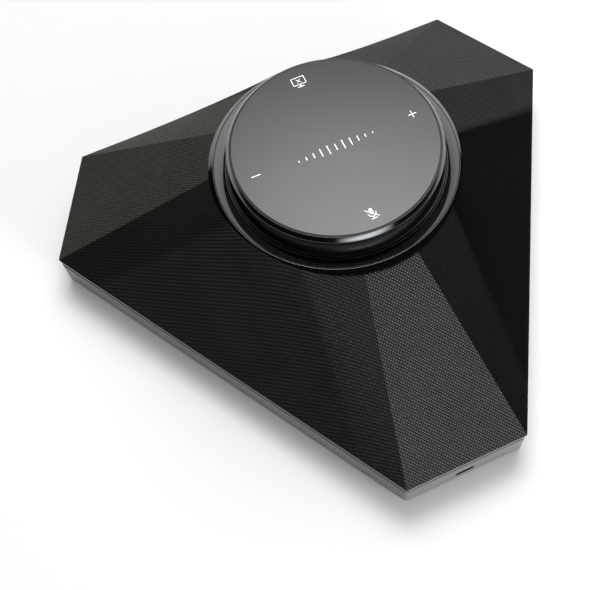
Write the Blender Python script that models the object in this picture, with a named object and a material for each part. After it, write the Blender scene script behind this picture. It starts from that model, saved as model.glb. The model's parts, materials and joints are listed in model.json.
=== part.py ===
"""Conference speakerphone with three legs, a fabric-covered shell and a raised touch disc.

Lengths below are millimetres and each mesh is scaled to metres as it is made. +Z is up and the
feet stand on z = 0. The front leg, with the USB-C socket, points along -Y.
"""

import math

import bmesh
import bpy
from mathutils import Matrix, Vector

MM = 0.001
GAP = 0.3

# Plan of the body: a hexagon of three short leg ends and three long sides.
END_WIDTH = 58.0
END_DISTANCE = 130.0
LEG_ANGLES = {"front": -90.0, "right": 30.0, "left": 150.0}
SIDE_ANGLES = (-30.0, 90.0, 210.0)
SIDE_DISTANCE = END_WIDTH / 2 * math.sin(math.radians(60)) + END_DISTANCE * math.cos(math.radians(60))
AXIS_Y = (END_DISTANCE - SIDE_DISTANCE) / 2

# Heights of the outside, from the floor up.
TRAY_BOTTOM = 1.5
TRAY_TOP = 15.2
TRIM_BOTTOM = 17.2
TRIM_TOP = 19.3
SKIN_EDGE = 20.0
RING_TOP = 76.0
DISC_BOTTOM = 82.0
DISC_TOP = 88.0

# Radii of the round parts.
NECK_RADIUS = 47.4
RING_INNER = 48.5
RING_OUTER = 53.0
FLARE_RADIUS = 46.5
DISC_RADIUS = 45.0

# The opening round the disc: (radius, height) over a leg and over a side.
OPENING_LEG = (55.6, 72.9)
OPENING_SIDE = (54.0, 75.3)

# Facets of the skin: the flat side face starts this far from each corner of a long side, and
# meets the opening within this angle of the side's middle.
FACE_START = 24.0
FACE_ANGLE = 20.0
RIDGE_STEPS = 2
FLANK_STEPS = 4
FACE_STEPS = 3
SKIN_LEVELS = 3

FABRIC = 0.8
SHELL_WALL = 2.2
TRAY_WALL = 2.0
CORNER_ARC_STEPS = 3
ROUND = 48
MIDDLE_ROUND = 36
SMALL_ROUND = 10

# Inner stack.
CASE_POST_TOP = 9.0
BOARD_BOTTOM = 7.0
BOARD_TOP = 8.6
BOARD_RADIUS = 50.0
EAR_DISTANCE = 45.5
ENCLOSURE_RADIUS = 42.0
ENCLOSURE_BOTTOM = 11.9
ENCLOSURE_TOP = 52.0
BAFFLE_TOP = 54.3
CARRIER_BOTTOM = 62.6
CARRIER_TOP = 64.6
CARRIER_SCREW_DISTANCE = 51.4
SOCKET_HEIGHT = 8.0
CASE_SCREW_LEG = 84.0
CASE_SCREW_SIDE = 75.0
FOOT_DISTANCE = 106.0
MIC_DISTANCE = 111.0
INDICATOR_PLACE = (0.0, 29.2)


# ---------------------------------------------------------------- building tools

LOOKS = {
    "light_grey_plastic": ((0.42, 0.42, 0.43), 0.45, 0.0),
    "black_plastic": ((0.02, 0.02, 0.022), 0.55, 0.0),
    "gloss_black": ((0.012, 0.012, 0.014), 0.12, 0.0),
    "charcoal_fabric": ((0.028, 0.03, 0.031), 0.9, 0.0),
    "dark_glass": ((0.05, 0.05, 0.055), 0.15, 0.0),
    "rubber": ((0.02, 0.02, 0.02), 0.85, 0.0),
    "steel": ((0.55, 0.55, 0.56), 0.35, 1.0),
    "ferrite": ((0.06, 0.06, 0.065), 0.6, 0.2),
    "circuit_board": ((0.01, 0.09, 0.05), 0.5, 0.0),
    "flex_film": ((0.45, 0.2, 0.03), 0.4, 0.0),
    "paper_cone": ((0.05, 0.05, 0.05), 0.8, 0.0),
    "copper": ((0.75, 0.33, 0.14), 0.35, 1.0),
    "diffuser": ((0.55, 0.57, 0.6), 0.3, 0.0),
}


def clear_scene():
    for obj in list(bpy.data.objects):
        bpy.data.objects.remove(obj, do_unlink=True)


def look(name):
    material = bpy.data.materials.get(name)
    if material is None:
        colour, roughness, metallic = LOOKS[name]
        material = bpy.data.materials.new(name)
        material.use_nodes = True
        shader = material.node_tree.nodes["Principled BSDF"]
        shader.inputs["Base Color"].default_value = (*colour, 1.0)
        shader.inputs["Roughness"].default_value = roughness
        shader.inputs["Metallic"].default_value = metallic
    return material


def add_empty(name, height=0.0, parent=None):
    empty = bpy.data.objects.new(name, None)
    empty.location = (0.0, 0.0 if parent else AXIS_Y * MM, height * MM)
    empty.parent = parent
    bpy.context.collection.objects.link(empty)
    return empty


def add_mesh(name, bm, material, parent, matrix=None, smooth_angle=30.0):
    """Turn a bmesh in millimetres into a named object in metres under its parent empty."""
    bmesh.ops.remove_doubles(bm, verts=bm.verts, dist=1e-4)
    bmesh.ops.recalc_face_normals(bm, faces=bm.faces)
    bmesh.ops.scale(bm, vec=(MM, MM, MM), verts=bm.verts)
    mesh = bpy.data.meshes.new(name)
    bm.to_mesh(mesh)
    bm.free()
    mesh.materials.append(look(material))
    mesh.shade_smooth()
    mesh.set_sharp_from_angle(angle=math.radians(smooth_angle))
    obj = bpy.data.objects.new(name, mesh)
    obj.parent = parent
    if matrix is not None:
        obj.matrix_local = Matrix.Translation(matrix.to_translation() * MM) @ matrix.to_3x3().to_4x4()
    bpy.context.collection.objects.link(obj)
    return obj


def combine(target, operation, bm, parent):
    """Join or cut the shapes in bm, as one hidden helper, with the target object."""
    helper = add_mesh(f"{target.name}_{operation.lower()}", bm, "black_plastic", parent)
    helper.hide_render = True
    helper.display_type = "WIRE"
    modifier = target.modifiers.new(operation.title(), "BOOLEAN")
    modifier.operation = operation
    modifier.solver = "EXACT"
    modifier.object = helper


def loft(bm, loops, caps=False):
    """Quads between neighbouring loops of points. The last joins the first, or both ends are capped."""
    rings = [[bm.verts.new(point) for point in loop] for loop in loops]
    following = rings[1:] + ([] if caps else rings[:1])
    for lower, upper in zip(rings, following):
        for i, vert in enumerate(lower):
            j = (i + 1) % len(lower)
            bm.faces.new((vert, lower[j], upper[j], upper[i]))
    if caps:
        bm.faces.new(rings[0])
        bm.faces.new(rings[-1])


def turned(profile, steps=ROUND, centre=(0.0, 0.0)):
    """A closed outline of (radius, height) points turned about a vertical axis through centre."""
    bm = bmesh.new()
    verts = [bm.verts.new((radius, 0.0, height)) for radius, height in profile]
    edges = [bm.edges.new((verts[i - 1], vert)) for i, vert in enumerate(verts)]
    edges = [edge for edge in edges if max(vert.co.x for vert in edge.verts) > 0.0]
    bmesh.ops.spin(
        bm, geom=edges, cent=(0, 0, 0), axis=(0, 0, 1), angle=math.tau, steps=steps, use_merge=True
    )
    bmesh.ops.remove_doubles(bm, verts=bm.verts, dist=1e-4)
    loose = [vert for vert in bm.verts if not vert.link_faces]
    bmesh.ops.delete(bm, geom=loose, context="VERTS")
    bmesh.ops.translate(bm, vec=(*centre, 0.0), verts=bm.verts)
    return bm


def add_cylinder(bm, centre, radius, low, high, steps=14):
    """A closed upright cylinder; returns its vertices."""
    made = bmesh.ops.create_cone(
        bm, cap_ends=True, segments=steps, radius1=radius, radius2=radius, depth=high - low,
        matrix=Matrix.Translation((*centre, (low + high) / 2)),
    )
    return made["verts"]


def add_box(bm, low, high):
    centre = [(a + b) / 2 for a, b in zip(low, high)]
    size = [b - a for a, b in zip(low, high)]
    bmesh.ops.create_cube(bm, size=1.0, matrix=Matrix.Translation(centre) @ Matrix.Diagonal((*size, 1.0)))


def box(low, high):
    bm = bmesh.new()
    add_box(bm, low, high)
    return bm


def around(angle, distance, offset=0.0):
    """The point at this distance along a plan angle, and this far to its left."""
    turn = math.radians(angle)
    return (
        distance * math.cos(turn) - offset * math.sin(turn),
        distance * math.sin(turn) + offset * math.cos(turn),
    )


def rounded_hexagon(inset, radius, height):
    """The body's plan, moved in by inset, with round corners."""
    distance = END_DISTANCE - inset
    half = END_WIDTH / 2 - inset * math.tan(math.radians(30))
    setback = radius / math.cos(math.radians(30))
    loop = []
    for angle in LEG_ANGLES.values():
        for side in (-1, 1):
            corner = Vector(around(angle, distance, side * half))
            outward = angle + side * 30.0
            centre = corner - Vector(around(outward, setback))
            for i in range(CORNER_ARC_STEPS + 1):
                turn = outward - 30.0 + 60.0 * i / CORNER_ARC_STEPS
                loop.append((*(centre + Vector(around(turn, radius))), height))
    return loop


def strip(path, width, thickness, angle=0.0, offset=0.0):
    """A flat flexible cable: (distance, height) points along a plan angle, mitred at its bends."""
    bm = bmesh.new()
    points = [Vector(point) for point in path]
    loops = []
    for i, point in enumerate(points):
        before = (point - points[i - 1]).normalized() if i else (points[1] - point).normalized()
        after = (points[i + 1] - point).normalized() if i + 1 < len(points) else before
        mean = (before + after).normalized()
        normal = Vector((-mean.y, mean.x)) / mean.dot(after) * thickness / 2
        loops.append(
            [
                (*around(angle, (point + sign * normal).x, offset + side), (point + sign * normal).y)
                for sign, side in ((-1, -width / 2), (-1, width / 2), (1, width / 2), (1, -width / 2))
            ]
        )
    loft(bm, loops, caps=True)
    return bm


# ---------------------------------------------------------------- the faceted skin


def opening(angle_from_leg):
    """(radius, height) of the skin's opening: wider and lower over the legs than over the sides."""
    wave = (1 - math.cos(math.radians(3 * angle_from_leg))) / 2
    return tuple(leg + (side - leg) * wave for leg, side in zip(OPENING_LEG, OPENING_SIDE))


def outer_edge_distance(angle):
    """Distance of the uninset lower edge along this angle from the leg."""
    angle = abs(angle)
    ridge = math.degrees(math.atan2(END_WIDTH / 2, END_DISTANCE))
    if angle <= ridge:
        return END_DISTANCE / math.cos(math.radians(angle))
    return SIDE_DISTANCE / math.cos(math.radians(60.0 - angle))


def half_sector(inset):
    """(angle from the leg, lower-edge point) pairs from a leg's middle to the next side's middle."""
    distance = END_DISTANCE - inset
    half = END_WIDTH / 2 - inset * math.tan(math.radians(30))
    corner = Vector((distance, half))
    middle = Vector(around(60.0, SIDE_DISTANCE - inset))
    ridge = math.degrees(math.atan2(END_WIDTH / 2, END_DISTANCE))
    crease = 60.0 - FACE_ANGLE
    start = FACE_START / (middle - corner).length
    stations = []
    for i in range(RIDGE_STEPS):
        share = i / RIDGE_STEPS
        stations.append((ridge * share, Vector((distance, half * share))))
    for i in range(FLANK_STEPS):
        share = i / FLANK_STEPS
        stations.append((ridge + (crease - ridge) * share, corner.lerp(middle, start * share)))
    for i in range(FACE_STEPS + 1):
        share = i / FACE_STEPS
        stations.append((crease + FACE_ANGLE * share, corner.lerp(middle, start + (1 - start) * share)))
    return stations


def skin_rulings(inset, drop, grow=0.0):
    """Straight lines of the skin, moved in by inset and down by drop, as (lower, upper) points."""
    rulings = []
    for leg in LEG_ANGLES.values():
        half = half_sector(inset)
        both = [(-angle, Vector((p.x, -p.y))) for angle, p in reversed(half[1:-1])] + half
        for angle, point in both:
            radius, height = opening(angle)
            slope = (height - SKIN_EDGE) / (outer_edge_distance(angle) - radius)
            lower = Vector((*around(leg, point.x, point.y), SKIN_EDGE - drop))
            upper = Vector((*around(leg + angle, radius + grow), height - drop - slope * (inset + grow)))
            rulings.append((lower, upper))
    return rulings


def skin_loops(inset, drop, bottom, grow=0.0, levels=SKIN_LEVELS):
    """Loops up the moved skin from a flat bottom height to the opening, which is wider by grow."""
    rulings = skin_rulings(inset, drop, grow)
    loops = []
    for i in range(levels + 1):
        loop = []
        for lower, upper in rulings:
            start = (bottom - lower.z) / (upper.z - lower.z)
            loop.append(lower.lerp(upper, start + (1 - start) * i / levels))
        loops.append(loop)
    return loops


def lower_loop(inset, height):
    """The skin's lower edge moved straight in, at one height."""
    return [(lower.x, lower.y, height) for lower, upper in skin_rulings(inset, 0.0)]


def round_loop(radius, height):
    """A level circle with one point for each of the skin's rulings."""
    loop = []
    for lower, upper in skin_rulings(0.0, 0.0):
        scale = radius / math.hypot(upper.x, upper.y)
        loop.append((upper.x * scale, upper.y * scale, height))
    return loop


def add_fabric_cover(root):
    hem_bottom = TRIM_TOP + GAP
    hem_depth = 4.0
    bm = bmesh.new()
    outer = skin_loops(0.0, 0.0, SKIN_EDGE)
    inner = skin_loops(0.65, 0.5, hem_bottom + FABRIC)
    hem = [lower_loop(hem_depth, hem_bottom + FABRIC), lower_loop(hem_depth, hem_bottom)]
    hem.append(lower_loop(0.15, hem_bottom))
    loft(bm, outer + inner[::-1] + hem)
    add_mesh("fabric_cover", bm, "charcoal_fabric", root)


def add_opening_bezel(root):
    """The gloss ring that slopes from the flat ring down to the cloth's edge."""
    inner = RING_OUTER + 0.25
    rim = RING_TOP - 0.2
    edge_gap = 0.15
    depth = 1.5
    bottom, top, shoulder, outer_top, outer_bottom = [], [], [], [], []
    for _, upper in skin_rulings(0.0, 0.0):
        radius = math.hypot(upper.x, upper.y)
        outer = radius - edge_gap
        for loop, distance, height in (
            (bottom, inner, upper.z - depth), (top, inner, rim), (shoulder, inner + 0.2, rim),
            (outer_top, outer, upper.z), (outer_bottom, outer, upper.z - depth),
        ):
            loop.append((upper.x * distance / radius, upper.y * distance / radius, height))
    bm = bmesh.new()
    loft(bm, [bottom, top, shoulder, outer_top, outer_bottom])
    add_mesh("opening_bezel", bm, "gloss_black", root)


def leg_slope():
    return (OPENING_LEG[1] - SKIN_EDGE) / (END_DISTANCE - OPENING_LEG[0])


def side_slope():
    return (OPENING_SIDE[1] - SKIN_EDGE) / (SIDE_DISTANCE - OPENING_SIDE[0])


def add_case_bosses(bm):
    """Screw bosses that hang from the shell and end just over the tray's posts."""
    below_skin = FABRIC + GAP + SHELL_WALL / 2
    places = [(angle, CASE_SCREW_LEG, END_DISTANCE, leg_slope()) for angle in LEG_ANGLES.values()]
    places += [(angle, CASE_SCREW_SIDE, SIDE_DISTANCE, side_slope()) for angle in SIDE_ANGLES]
    for angle, distance, edge, slope in places:
        outward = Vector((*around(angle, 1.0), 0.0))
        for vert in add_cylinder(bm, around(angle, distance), 3.4, CASE_POST_TOP + GAP, 40.0):
            if vert.co.z > CASE_POST_TOP + 1.0:
                rise = (edge - vert.co.dot(outward)) * slope
                vert.co.z = SKIN_EDGE + rise - below_skin / math.cos(math.atan(slope))


def add_upper_shell(root):
    bottom = TRIM_TOP + GAP + FABRIC + GAP
    collar_inner = 53.7
    flange_inner = 49.3
    flange_top = CARRIER_BOTTOM - GAP
    flange_bottom = flange_top - 2.0
    inside_radius = 56.5
    bm = bmesh.new()
    outer = skin_loops(1.15, 0.9, bottom, 0.4)
    inner = skin_loops(2.9, 2.3, bottom, 2.2)
    collar_top = []
    for point in outer[-1]:
        inward = collar_inner / math.hypot(point.x, point.y)
        collar_top.append((point.x * inward, point.y * inward, point.z - 0.6))
    steps = [
        collar_top,
        round_loop(collar_inner, flange_top),
        round_loop(flange_inner, flange_top),
        round_loop(flange_inner, flange_bottom),
        round_loop(inside_radius, flange_bottom),
    ]
    loft(bm, outer + steps + inner[::-1])
    shell = add_mesh("upper_shell", bm, "black_plastic", root)
    bosses = bmesh.new()
    add_case_bosses(bosses)
    for angle in SIDE_ANGLES:
        centre = around(angle, CARRIER_SCREW_DISTANCE)
        add_cylinder(bosses, centre, 2.6, flange_bottom - 4.0, flange_bottom + 0.8)
    combine(shell, "UNION", bosses, root)
    cuts = bmesh.new()
    for angle in LEG_ANGLES.values():
        add_cylinder(cuts, around(angle, CASE_SCREW_LEG), 1.4, 0.0, 26.0, SMALL_ROUND)
    for angle in SIDE_ANGLES:
        add_cylinder(cuts, around(angle, CASE_SCREW_SIDE), 1.4, 0.0, 26.0, SMALL_ROUND)
        add_cylinder(cuts, around(angle, CARRIER_SCREW_DISTANCE), 1.4, 54.0, 66.0, SMALL_ROUND)
    combine(shell, "DIFFERENCE", cuts, root)


# ---------------------------------------------------------------- base


def add_base_tray(root):
    corner = 3.0
    floor = TRAY_BOTTOM + 2.0
    bm = bmesh.new()
    outline = (
        (1.2, TRAY_BOTTOM), (0.7, TRAY_BOTTOM + 0.5), (0.25, TRAY_TOP - 0.4), (0.6, TRAY_TOP),
        (TRAY_WALL + 0.25, TRAY_TOP), (TRAY_WALL + 0.6, floor),
    )
    loft(bm, [rounded_hexagon(inset, corner, height) for inset, height in outline], caps=True)
    tray = add_mesh("base_tray", bm, "light_grey_plastic", root)

    posts = bmesh.new()
    for angle, distance in case_screw_places():
        add_cylinder(posts, around(angle, distance), 4.6, floor - 0.8, CASE_POST_TOP)
    for angle in SIDE_ANGLES:
        add_cylinder(posts, around(angle, EAR_DISTANCE), 3.2, floor - 0.8, BOARD_BOTTOM - GAP)
    combine(tray, "UNION", posts, root)

    bores = bmesh.new()
    cuts = bmesh.new()
    for angle, distance in case_screw_places():
        add_cylinder(cuts, around(angle, distance), 3.1, 0.0, 6.0, 14)
        add_cylinder(bores, around(angle, distance), 1.5, 0.0, CASE_POST_TOP + 1.0, SMALL_ROUND)
    for angle in SIDE_ANGLES:
        add_cylinder(bores, around(angle, EAR_DISTANCE), 1.4, 2.9, BOARD_BOTTOM, SMALL_ROUND)
    for angle in LEG_ANGLES.values():
        add_cylinder(cuts, around(angle, FOOT_DISTANCE), 10.3, 0.0, TRAY_BOTTOM + 1.0, 28)
    face = -END_DISTANCE
    slot = [stadium_loop(9.3, 3.7, face + depth) for depth in (-2.0, 6.0)]
    loft(cuts, slot, caps=True)
    combine(tray, "DIFFERENCE", cuts, root)
    combine(tray, "DIFFERENCE", bores, root)


def case_screw_places():
    places = [(angle, CASE_SCREW_LEG) for angle in LEG_ANGLES.values()]
    return places + [(angle, CASE_SCREW_SIDE) for angle in SIDE_ANGLES]


def stadium_loop(width, height, y):
    """An upright outline with round ends, at the USB-C socket's place."""
    radius = height / 2
    steps = 6
    loop = []
    for side, start in ((1, -90.0), (-1, 90.0)):
        for i in range(steps + 1):
            turn = math.radians(start + 180.0 * i / steps)
            x = side * (width / 2 - radius) + radius * math.cos(turn)
            loop.append((x, y, SOCKET_HEIGHT + radius * math.sin(turn)))
    return loop


def add_trim_frame(root):
    outline = (
        (0.3, TRIM_BOTTOM), (0.3, TRIM_TOP), (4.2, TRIM_TOP), (4.2, TRIM_BOTTOM), (3.8, TRIM_BOTTOM),
        (3.8, TRAY_TOP - 2.5), (2.9, TRAY_TOP - 2.5), (2.9, TRAY_TOP + GAP), (1.1, TRAY_TOP + GAP),
        (1.1, TRIM_BOTTOM),
    )
    bm = bmesh.new()
    loft(bm, [rounded_hexagon(inset, 2.0, height) for inset, height in outline])
    add_mesh("trim_frame", bm, "light_grey_plastic", root)


def add_feet(root):
    for name, angle in LEG_ANGLES.items():
        profile = ((0.0, 0.0), (9.4, 0.0), (10.0, 0.6), (10.0, 2.2), (0.0, 2.2))
        bm = turned(profile, 28, around(angle, FOOT_DISTANCE))
        add_mesh(f"foot_{name}", bm, "rubber", root)


def screw(head_radius, head_low, head_high, tip, centre, shank_radius=1.1):
    """A pan-head screw; its shank runs from the head to the tip, above or below it."""
    if tip > head_high:
        profile = (
            (0.0, head_low), (head_radius, head_low), (head_radius, head_high),
            (shank_radius, head_high), (shank_radius, tip - 0.6), (0.0, tip),
        )
    else:
        profile = (
            (0.0, tip), (shank_radius, tip + 0.6), (shank_radius, head_low),
            (head_radius, head_low), (head_radius, head_high), (0.0, head_high),
        )
    return turned(profile, SMALL_ROUND, centre)


def add_case_screws(root):
    head_low = 3.6
    for number, (angle, distance) in enumerate(case_screw_places(), 1):
        bm = screw(2.7, head_low, head_low + 2.0, 22.0, around(angle, distance))
        add_mesh(f"case_screw_{number}", bm, "steel", root)


# ---------------------------------------------------------------- USB-C socket and boards


def add_usb_parts(root):
    face = -END_DISTANCE + 1.0
    length = 7.3
    bm = bmesh.new()
    loops = [
        stadium_loop(8.94, 3.26, face + length), stadium_loop(8.94, 3.26, face),
        stadium_loop(8.34, 2.66, face), stadium_loop(8.34, 2.66, face + length - 0.6),
    ]
    loft(bm, loops, caps=True)
    add_mesh("usb_c_receptacle", bm, "steel", root)
    tongue_back = face + length - 0.6 - GAP
    tongue = box((-3.3, face + 0.7, SOCKET_HEIGHT - 0.35), (3.3, tongue_back, SOCKET_HEIGHT + 0.35))
    add_mesh("usb_c_tongue", tongue, "black_plastic", root)
    board_top = SOCKET_HEIGHT - 3.26 / 2 - 0.2
    board = box((-10.0, face + 2.2, board_top - 1.0), (10.0, face + 19.0, board_top))
    add_mesh("usb_board", board, "circuit_board", root)
    start = -face - 15.0
    path = (
        (start, board_top + 0.4), (start - 5.0, board_top + 0.4), (start - 8.0, 4.5), (54.0, 4.5),
        (52.0, BOARD_TOP + 0.6), (44.0, BOARD_TOP + 0.6),
    )
    add_mesh("usb_ribbon", strip(path, 6.0, 0.3, -90.0, 8.5), "flex_film", root)


def add_main_board(root):
    profile = ((0.0, BOARD_BOTTOM), (BOARD_RADIUS, BOARD_BOTTOM), (BOARD_RADIUS, BOARD_TOP), (0.0, BOARD_TOP))
    board = add_mesh("main_board", turned(profile, MIDDLE_ROUND), "circuit_board", root)
    holes = bmesh.new()
    for angle in SIDE_ANGLES:
        centre = around(angle, EAR_DISTANCE)
        add_cylinder(holes, centre, 1.6, BOARD_BOTTOM - 1.0, BOARD_TOP + 1.0, SMALL_ROUND)
    combine(board, "DIFFERENCE", holes, root)
    low = BOARD_TOP + GAP
    shield = box((-14.0, -14.0, low), (14.0, 14.0, low + 2.2))
    edges = [edge for edge in shield.edges if all(vert.co.z > low + 1.0 for vert in edge.verts)]
    bmesh.ops.bevel(shield, geom=edges, offset=0.4, segments=1, affect="EDGES")
    add_mesh("processor_shield", shield, "steel", root)


def add_microphones(root):
    slope = leg_slope()
    tilt = math.atan(slope)
    behind_shell = FABRIC + GAP + SHELL_WALL + GAP + 0.35
    gasket = 1.6
    for name, angle in LEG_ANGLES.items():
        on_skin = Vector((MIC_DISTANCE, 0.0, SKIN_EDGE + (END_DISTANCE - MIC_DISTANCE) * slope))
        spin = Matrix.Rotation(math.radians(angle), 4, "Z")
        place = spin @ Matrix.Translation(on_skin) @ Matrix.Rotation(tilt, 4, "Y")
        ring = turned(((1.6, -gasket), (4.0, -gasket), (4.0, 0.0), (1.6, 0.0)), 14)
        depth = Matrix.Translation((0.0, 0.0, -behind_shell))
        add_mesh(f"mic_gasket_{name}", ring, "rubber", root, place @ depth)
        board = box((-5.0, -6.0, -1.0), (5.0, 6.0, 0.0))
        depth = Matrix.Translation((0.0, 0.0, -behind_shell - gasket - GAP))
        add_mesh(f"mic_board_{name}", board, "circuit_board", root, place @ depth)


# ---------------------------------------------------------------- loudspeaker


def add_enclosure(root):
    wall = 2.0
    profile = (
        (0.0, ENCLOSURE_BOTTOM), (ENCLOSURE_RADIUS, ENCLOSURE_BOTTOM), (ENCLOSURE_RADIUS, ENCLOSURE_TOP),
        (ENCLOSURE_RADIUS - wall, ENCLOSURE_TOP), (ENCLOSURE_RADIUS - wall, ENCLOSURE_BOTTOM + wall),
        (0.0, ENCLOSURE_BOTTOM + wall),
    )
    cup = add_mesh("speaker_enclosure", turned(profile, 48), "black_plastic", root)
    ears = bmesh.new()
    holes = bmesh.new()
    for angle in SIDE_ANGLES:
        add_cylinder(ears, around(angle, EAR_DISTANCE), 3.8, BOARD_TOP + GAP, 15.0)
        add_cylinder(holes, around(angle, EAR_DISTANCE), 1.5, BOARD_TOP - 1.0, 16.0, SMALL_ROUND)
    combine(cup, "UNION", ears, root)
    combine(cup, "DIFFERENCE", holes, root)
    low = ENCLOSURE_TOP + GAP
    ring = ((31.0, low), (ENCLOSURE_RADIUS, low), (ENCLOSURE_RADIUS, BAFFLE_TOP), (31.0, BAFFLE_TOP))
    baffle = add_mesh("speaker_baffle", turned(ring, 48), "black_plastic", root)
    holes = bmesh.new()
    for angle in LEG_ANGLES.values():
        add_cylinder(holes, around(angle, 34.6), 1.4, 50.0, 56.0, SMALL_ROUND)
    combine(baffle, "DIFFERENCE", holes, root)
    for number, angle in enumerate(SIDE_ANGLES, 1):
        bm = screw(2.5, 15.0 + GAP, 17.0, 4.0, around(angle, EAR_DISTANCE))
        add_mesh(f"stack_screw_{number}", bm, "steel", root)


def add_driver_frame(root):
    """The loudspeaker's fixed parts: basket, magnet system and gasket."""
    flange_low = BAFFLE_TOP + GAP
    flange_high = flange_low + 1.2
    basket = (
        (37.0, flange_low), (37.0, flange_high), (28.6, flange_high), (27.4, 53.0), (19.0, 40.2),
        (16.6, 40.2),
        (16.6, 38.0), (9.6, 38.0), (9.6, 37.0), (17.8, 37.0), (17.8, 39.2), (20.0, 39.2),
        (28.6, 52.4), (29.8, flange_low),
    )
    frame = add_mesh("speaker_basket", turned(basket, MIDDLE_ROUND), "steel", root)
    windows = bmesh.new()
    for number in range(6):
        bmesh.ops.create_cube(
            windows, size=1.0, matrix=Matrix.Rotation(math.radians(60 * number + 30), 4, "Z")
            @ Matrix.Translation((24.0, 0.0, 46.6)) @ Matrix.Diagonal((9.0, 13.0, 7.6, 1.0)),
        )
    for angle in LEG_ANGLES.values():
        add_cylinder(windows, around(angle, 34.6), 1.5, 53.0, 57.0, SMALL_ROUND)
    combine(frame, "DIFFERENCE", windows, root)
    for number, angle in enumerate(LEG_ANGLES.values(), 1):
        bm = screw(2.3, flange_high + GAP, flange_high + 1.8, 48.5, around(angle, 34.6))
        add_mesh(f"speaker_screw_{number}", bm, "steel", root)
    gasket = ((29.4, flange_high + GAP), (31.9, flange_high + GAP), (31.9, 57.6), (29.4, 57.6))
    add_mesh("speaker_gasket", turned(gasket, MIDDLE_ROUND), "rubber", root)
    plate = ((9.1, 34.7), (19.0, 34.7), (19.0, 36.7), (9.1, 36.7))
    add_mesh("magnet_top_plate", turned(plate, 28), "steel", root)
    magnet = ((10.5, 26.2), (21.0, 26.2), (21.0, 34.4), (10.5, 34.4))
    add_mesh("magnet_ring", turned(magnet, 28), "ferrite", root)
    yoke = ((0.0, 23.0), (20.0, 23.0), (20.0, 25.9), (7.2, 25.9), (7.2, 36.6), (0.0, 36.6))
    add_mesh("magnet_yoke", turned(yoke, 28), "steel", root)


def add_driver_cone(root):
    """The moving diaphragm and the two flexible parts that carry it."""
    axis = add_empty("cone_axis", 0.0, root)
    coil = ((7.7, 30.0), (8.4, 30.0), (8.4, 36.5), (8.2, 36.5), (8.2, 44.4), (7.7, 44.4))
    add_mesh("voice_coil", turned(coil, 24), "copper", axis)
    cone = (
        (8.6, 43.2), (9.4, 43.2), (15.0, 46.3), (20.0, 50.2), (24.0, 54.4), (24.0, 55.4),
        (19.4, 51.2), (14.5, 47.3), (8.6, 44.4),
    )
    add_mesh("speaker_cone", turned(cone, MIDDLE_ROUND), "paper_cone", axis)
    dome = [(9.6 * math.cos(turn), 45.4 + 3.6 * math.sin(turn)) for turn in arc_turns(0.0, 90.0, 3)]
    under = [(8.9 * math.cos(turn), 45.4 + 2.9 * math.sin(turn)) for turn in arc_turns(90.0, 0.0, 3)]
    add_mesh("dust_cap", turned(dome + under, 24), "paper_cone", axis)
    mean, roll, skin = 26.65, 2.35, 0.5
    top = [(mean + roll * math.cos(turn), 55.8 + roll * math.sin(turn)) for turn in arc_turns(0.0, 180.0, 4)]
    low = [
        (mean + (roll - skin) * math.cos(turn), 55.8 + (roll - skin) * math.sin(turn))
        for turn in arc_turns(180.0, 0.0, 4)
    ]
    add_mesh("surround", turned(top + low, MIDDLE_ROUND), "rubber", root)
    waves = 2
    inner, outer = 9.0, 16.2
    top = []
    for i in range(2 * waves + 1):
        top.append((inner + (outer - inner) * i / (2 * waves), 41.2 + 0.5 * (i % 2)))
    low = [(radius, height - 0.4) for radius, height in reversed(top)]
    add_mesh("spider", turned(low + top, MIDDLE_ROUND), "paper_cone", root)


def arc_turns(first, last, steps):
    return [math.radians(first + (last - first) * i / steps) for i in range(steps + 1)]


# ---------------------------------------------------------------- control pod


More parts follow.
